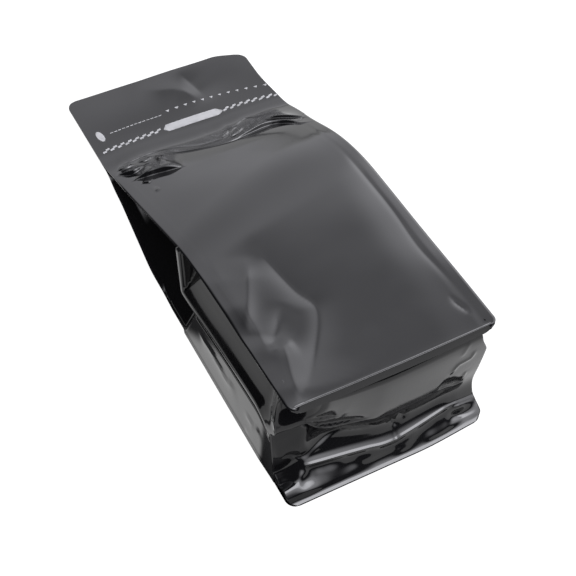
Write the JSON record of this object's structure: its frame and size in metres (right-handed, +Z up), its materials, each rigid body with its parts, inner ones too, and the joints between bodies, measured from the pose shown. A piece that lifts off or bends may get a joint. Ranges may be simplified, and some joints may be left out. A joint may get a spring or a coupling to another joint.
{
  "type": "flat-bottom pouch",
  "caption": "Filled flat-bottom pouch of glossy black film lying on its back, with creased side gussets, seal flanges all round, a set-back base panel and an empty flat mouth flap.",
  "frame": {"origin": "under the middle of the pouch, on the surface that its back panel lies on", "axes": "+Z up through the front panel, +Y from the base towards the mouth, +X across to the right seam"},
  "size_m": [0.142, 0.342, 0.0984],
  "materials": {
    "film": "glossy black laminate film",
    "print": "white ink marks on the mouth flap"
  },
  "bodies": {
    "root": {"pouch": "film"}
  },
  "joints": []
}
